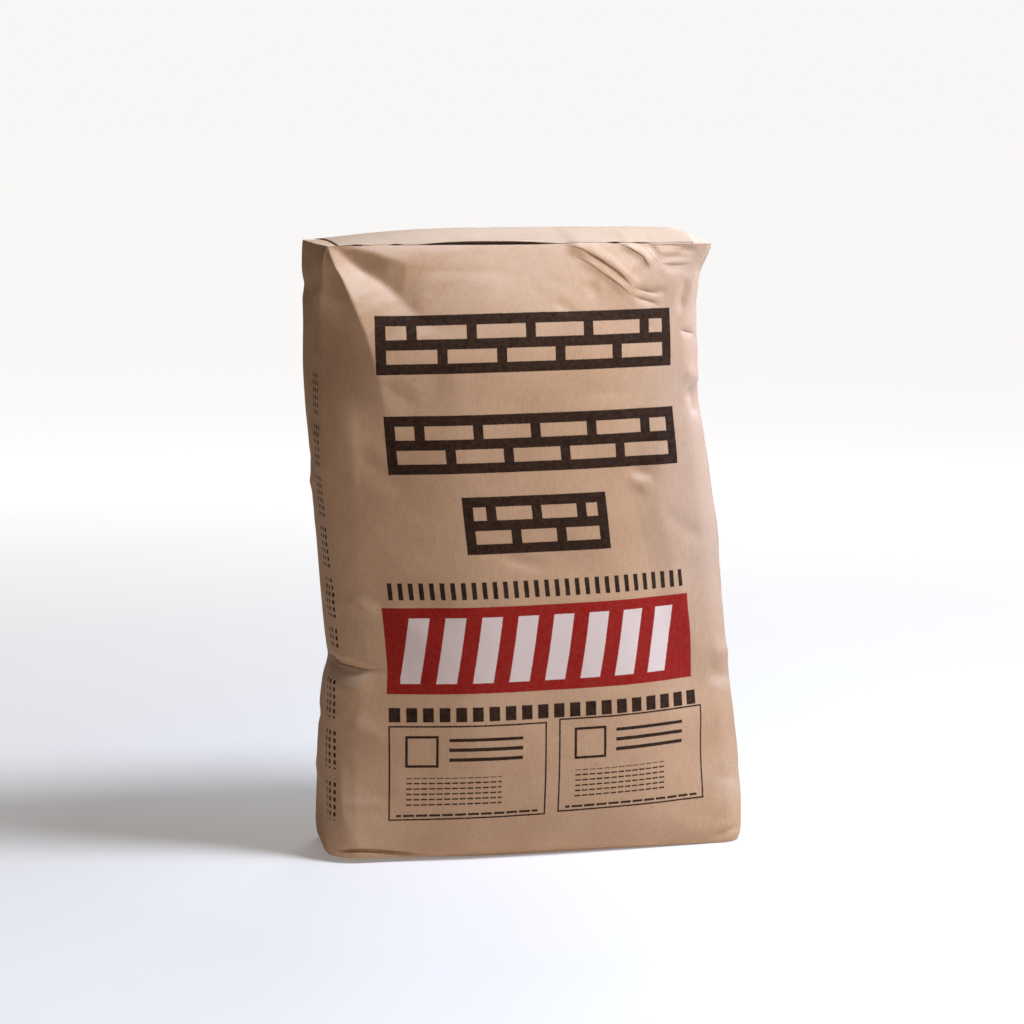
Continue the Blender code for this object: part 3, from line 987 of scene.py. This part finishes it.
# Thin pleats and wrinkles in millimetres: across and height of both ends, rise, and the widths
# of the flanks on the right and on the left of the way from the first end to the second.
# Cycles draws a material with many more of them black.
PLEATS = (
    (40, 521, 64, 513, 0.5, 1.5, 6),
    (56, 516.5, 84, 499, 1.1, 2.4, 8),
    (74, 507, 100, 484.5, 0.8, 2.2, 6),
    (49, 512, 75, 495.5, 0.4, 1.6, 5),
    (64, 502.5, 98, 478.5, 0.7, 1.8, 5.5),
    (86, 522.5, 112, 508.5, 0.8, 1.8, 6),
    (106, 512.5, 115, 499.5, 0.5, 1.6, 4),
    (107, 521.5, 122.5, 505, 0.6, 1.5, 4.5),
    (112, 519.5, 145, 518, -0.5, 1.5, 3),
    (122, 501.5, 153, 502, -0.4, 1.2, 2.2),
    (95, 483.5, 124, 477, -0.5, 1.4, 2.4),
    (94, 477, 123, 468.5, -0.5, 1.4, 2.4),
    (140, 447.5, 163, 442.5, -0.7, 1.4, 2),
    (-240, 167.4, -128, 164, -1.1, 1.4, 2.4),
)
PLEAT_TAPER = 0.45  # the share of a pleat's length over which each end rises


def pleats(n, across, height):
    """Rise of the pleats, which are sharper than the mesh can hold."""
    total = 0.0
    for x0, z0, x1, z1, rise, right, left in (np.array(PLEATS) / 1000).tolist():
        length = math.hypot(x1 - x0, z1 - z0)
        ax, az = (x1 - x0) / length, (z1 - z0) / length
        along = n.line(across, height, ax, az, -x0 * ax - z0 * az)
        off = n.line(across, height, -az, ax, x0 * az - z0 * ax)
        shape = n.least(
            n.remap(off, -right, 0, 0, abs(rise)),
            n.remap(off, 0, left, abs(rise), 0),
            n.remap(along, 0, PLEAT_TAPER * length, 0, abs(rise)),
            n.remap(along, (1 - PLEAT_TAPER) * length, length, abs(rise), 0),
        )
        total = n.plus(total, shape) if rise > 0 else n.minus(total, shape)
    return total


def paper_bump(n, strength):
    """Paper's own surface: a fine grain over slight cockling."""
    grain = n.noise(900.0, 2.0, 0.6)[0]
    cockle = n.noise(55.0, 3.0, 0.55, 0.4)[0]
    bump = n.add("ShaderNodeBump")
    n.feed(bump, "Height", n.plus(n.times(grain, 0.10), cockle))
    n.feed(bump, "Strength", strength)
    n.feed(bump, "Distance", 0.0012)
    return bump.outputs[0]


KRAFT_LIGHT = (0.560, 0.345, 0.200, 1)
KRAFT_DARK = (0.480, 0.280, 0.155, 1)
# The cover's kraft is painted darker and greyer than the wall's, as painted shade on the head under the
# strong top light; the foot strip and the valve mouth get the same paper
SHADED_COVER_LIGHT = (0.440, 0.325, 0.235, 1)
SHADED_COVER_DARK = (0.390, 0.280, 0.198, 1)
FIBRE = (0.780, 0.580, 0.400, 1)
FLECK = (0.160, 0.085, 0.045, 1)
# Pale colour of cement dust, used also as a painted highlight on upward-facing paper
DUST_AND_HIGHLIGHT = (0.640, 0.580, 0.520, 1)
EDGE_HIGHLIGHT = (0.620, 0.590, 0.600, 1)  # a painted highlight along the right-hand edge, pale and cool like the rim light there
INK = (0.018, 0.0055, 0.0015, 1)
PANEL_RED = (0.300, 0.005, 0.003, 1)
PANEL_WHITE = (0.745, 0.600, 0.530, 1)
CEMENT_DARK = (0.270, 0.270, 0.260, 1)
CEMENT_LIGHT = (0.360, 0.355, 0.340, 1)
BACK_FROM = 0.27  # metres round the paper from the front's middle line


def print_place(n, flat):
    """Millimetres on the print: along the paper in front, straight across on the back."""
    shake = n.noise(700.0, 2.0)["Color"]
    shaken = n.add("ShaderNodeVectorMath", shake, (0.0007, 0.0007, 0.0), flat, operation="MULTIPLY_ADD")
    across, height, _ = n.split(shaken.outputs[0])
    x, _, z = n.split(n.place)
    leaning = n.remap(z, LEAN_START_HEIGHT + 0.05, LEAN_END_HEIGHT - 0.05, 0.0, LEAN)
    from_behind = n.minus(MIDDLE_X, n.plus(x, leaning))
    on_back = n.math("GREATER_THAN", n.math("ABSOLUTE", across), BACK_FROM)
    return n.times(n.choose(on_back, across, from_behind), 1000), n.times(height, 1000)


def printed_kraft():
    n = Nodes("printed_kraft")
    flat = n.add("ShaderNodeUVMap", uv_map="flat_paper").outputs[0]
    across, height, _ = n.split(flat)
    # pale dust and a painted highlight where the paper faces upwards
    colour = dusted_and_lit(n, kraft_colour(n, KRAFT_LIGHT, KRAFT_DARK), 0.36)
    # Painted highlight: paler, cooler paper in a band along the right-hand edge, fading out towards the
    # foot
    painted_edge_highlight = n.least(n.remap(across, 0.08, 0.16, 0.0, 0.19), n.remap(across, 0.19, 0.23, 0.19, 0.0))
    colour = n.mix(n.times(painted_edge_highlight, n.remap(height, 0.12, 0.26)), colour, EDGE_HIGHLIGHT)
    dark, red, white = printed_marks(n, *print_place(n, flat))
    worn = n.remap(n.noise(260.0, 4.0, 0.7)[0], 0.30, 0.72, 1.0, 0.93)
    colour = n.mix(n.times(red, worn), colour, PANEL_RED)
    colour = n.mix(white, colour, PANEL_WHITE)
    colour = n.mix(n.times(dark, worn), colour, INK)
    n.feed(n.shader, "Base Color", colour)
    n.feed(n.shader, "Roughness", 0.62)
    n.feed(n.shader, "Specular IOR Level", 0.10)
    pleated = n.add("ShaderNodeBump")
    n.feed(pleated, "Height", pleats(n, across, height))
    n.feed(pleated, "Distance", 1.0)
    n.feed(pleated, "Normal", paper_bump(n, 0.35))
    n.feed(n.shader, "Normal", pleated.outputs[0])
    return n.material


def plain_kraft(name, light, dark):
    n = Nodes(name)
    # pale dust and a painted highlight where the paper faces upwards
    n.feed(n.shader, "Base Color", dusted_and_lit(n, kraft_colour(n, light, dark), 0.15))
    n.feed(n.shader, "Roughness", 0.70)
    n.feed(n.shader, "Specular IOR Level", 0.16)
    n.feed(n.shader, "Normal", paper_bump(n, 0.3))
    return n.material


def cement_powder():
    n = Nodes("cement_powder")
    clouds = n.noise(30.0, 5.0, 0.6)[0]
    n.feed(n.shader, "Base Color", n.mix(clouds, CEMENT_DARK, CEMENT_LIGHT))
    n.feed(n.shader, "Roughness", 0.95)
    n.feed(n.shader, "Normal", paper_bump(n, 0.5))
    return n.material


FLOOR_DARK = (0.700, 0.700, 0.700, 1)
FLOOR_PALE = (0.740, 0.740, 0.740, 1)
FLOOR_LIGHT = 0.125  # the glow that the sack gets
FLOOR_TINT = (1.0, 0.84, 0.70, 1)  # and its colour
FLOOR_GLOW = 0.20  # the glow that the camera sees near the sack
FLOOR_NEAR, FLOOR_FAR = 0.4, 2.4  # distances between which the floor turns white
FLOOR_WHITE = 0.90


def floor_material():
    """A pale floor that turns into the white backdrop away from the sack."""
    n = Nodes("pale_floor")
    clouds = n.noise(3.0, 3.0)[0]
    x, y, _ = n.split(n.place)
    squares = n.plus(n.times(x, x), n.times(y, y))
    white = n.remap(n.math("SQRT", squares), FLOOR_NEAR, FLOOR_FAR, FLOOR_GLOW, FLOOR_WHITE)
    seen = n.add("ShaderNodeLightPath").outputs["Is Camera Ray"]
    n.feed(n.shader, "Base Color", n.mix(clouds, FLOOR_DARK, FLOOR_PALE))
    n.feed(n.shader, "Roughness", 0.6)
    n.feed(n.shader, "Emission Color", n.mix(seen, FLOOR_TINT, (1.0, 1.0, 1.0, 1)))
    n.feed(n.shader, "Emission Strength", n.choose(seen, FLOOR_LIGHT, white))
    return n.material


# The pieces

PRINTED = printed_kraft()
PLAIN = plain_kraft("plain_kraft", KRAFT_LIGHT, KRAFT_DARK)
# the cover paper, darkened as painted shade
SHADED_COVER = plain_kraft("shaded_cover_kraft", SHADED_COVER_LIGHT, SHADED_COVER_DARK)

sack, head_surface = make_sack(PRINTED)
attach(sack, "root")
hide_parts("paper_sack")

cover = make_head_cover(head_surface, SHADED_COVER)
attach(cover, "root")
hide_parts("head_cover")

foot_strip = make_foot_cover(SHADED_COVER)
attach(foot_strip, "root")
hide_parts("foot_cover")

mouth = make_valve_mouth(SHADED_COVER)
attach(mouth, "root")
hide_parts("valve_sleeve")

seam = make_back_seam(PLAIN)
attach(seam, "root")

powder = make_cement(cement_powder())
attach(powder, "root")
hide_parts("cement_fill")


# Floor, light and camera


def make_floor():
    size = 30.0
    corners = [(-size, -size, 0), (size, -size, 0), (size, size, 0), (-size, size, 0)]
    floor = mesh_object("floor", corners, [(0, 1, 2, 3)], floor_material())


def make_light(name, place, target, size, energy, colour):
    data = bpy.data.lights.new(name, "AREA")
    data.shape = "DISK"
    data.size = size
    data.energy = energy
    data.color = colour
    lamp = bpy.data.objects.new(name, data)
    lamp.location = place
    lamp.rotation_euler = (Vector(target) - Vector(place)).to_track_quat("-Z", "Y").to_euler()
    bpy.context.scene.collection.objects.link(lamp)


AMBIENT = (0.066, 0.043, 0.030, 1)
BACKDROP = (0.93, 0.93, 0.93, 1)


def make_world():
    """A white backdrop that the camera sees, while the sack gets a dim warm light from it."""
    world = bpy.data.worlds.new("studio")
    world.use_nodes = True
    nodes, links = world.node_tree.nodes, world.node_tree.links
    rays = nodes.new("ShaderNodeLightPath")
    colour = nodes.new("ShaderNodeMix")
    colour.data_type = "RGBA"
    colour.inputs[6].default_value = AMBIENT
    colour.inputs[7].default_value = BACKDROP
    links.new(rays.outputs["Is Camera Ray"], colour.inputs[0])
    links.new(colour.outputs[2], nodes["Background"].inputs[0])
    bpy.context.scene.world = world


CAMERA_AZIMUTH = -14.0
CAMERA_ELEVATION = 8.2
CAMERA_ROLL = 0.345
CAMERA_DISTANCE = 2.6
CAMERA_TARGET = (-0.0127, 0.0, 0.2883)
PIXELS_PER_METRE = 1162  # at the target
IMAGE_SIDE = 1024
SENSOR_WIDTH = 36.0


def make_camera():
    azimuth, elevation = math.radians(CAMERA_AZIMUTH), math.radians(CAMERA_ELEVATION)
    back = Vector((math.sin(azimuth) * math.cos(elevation),
                   -math.cos(azimuth) * math.cos(elevation),
                   math.sin(elevation)))
    data = bpy.data.cameras.new("camera")
    data.sensor_width = SENSOR_WIDTH
    data.lens = SENSOR_WIDTH * PIXELS_PER_METRE * CAMERA_DISTANCE / IMAGE_SIDE
    data.clip_start = 0.05
    camera = bpy.data.objects.new("camera", data)
    camera.location = Vector(CAMERA_TARGET) + back * CAMERA_DISTANCE
    level = (-back).to_track_quat("-Z", "Y")
    roll = Quaternion((0, 0, 1), math.radians(CAMERA_ROLL))
    camera.rotation_euler = (level @ roll).to_euler()
    bpy.context.scene.collection.objects.link(camera)
    bpy.context.scene.camera = camera


make_floor()
make_world()
make_light("key", (0.57, -0.42, 1.44), (0, 0, 0.40), 0.40, 24, (1.0, 1.05, 1.18))
make_light("rim", (1.6, -0.45, 0.75), (0, 0, 0.30), 1.2, 10.5, (0.70, 0.97, 1.50))
make_light("fill", (0.1, -2.6, 1.0), (0, 0, 0.3), 1.6, 2.9, (1.0, 0.83, 0.70))
make_light("top", (0.1, 0.6, 1.7), (0, 0, 0.5), 1.0, 3, (0.95, 0.98, 1.0))
make_light("back", (0.9, 2.0, 1.5), (0, 0, 0.3), 1.0, 8, (1.0, 0.97, 0.94))
make_camera()
bpy.context.scene.view_settings.view_transform = "Standard"
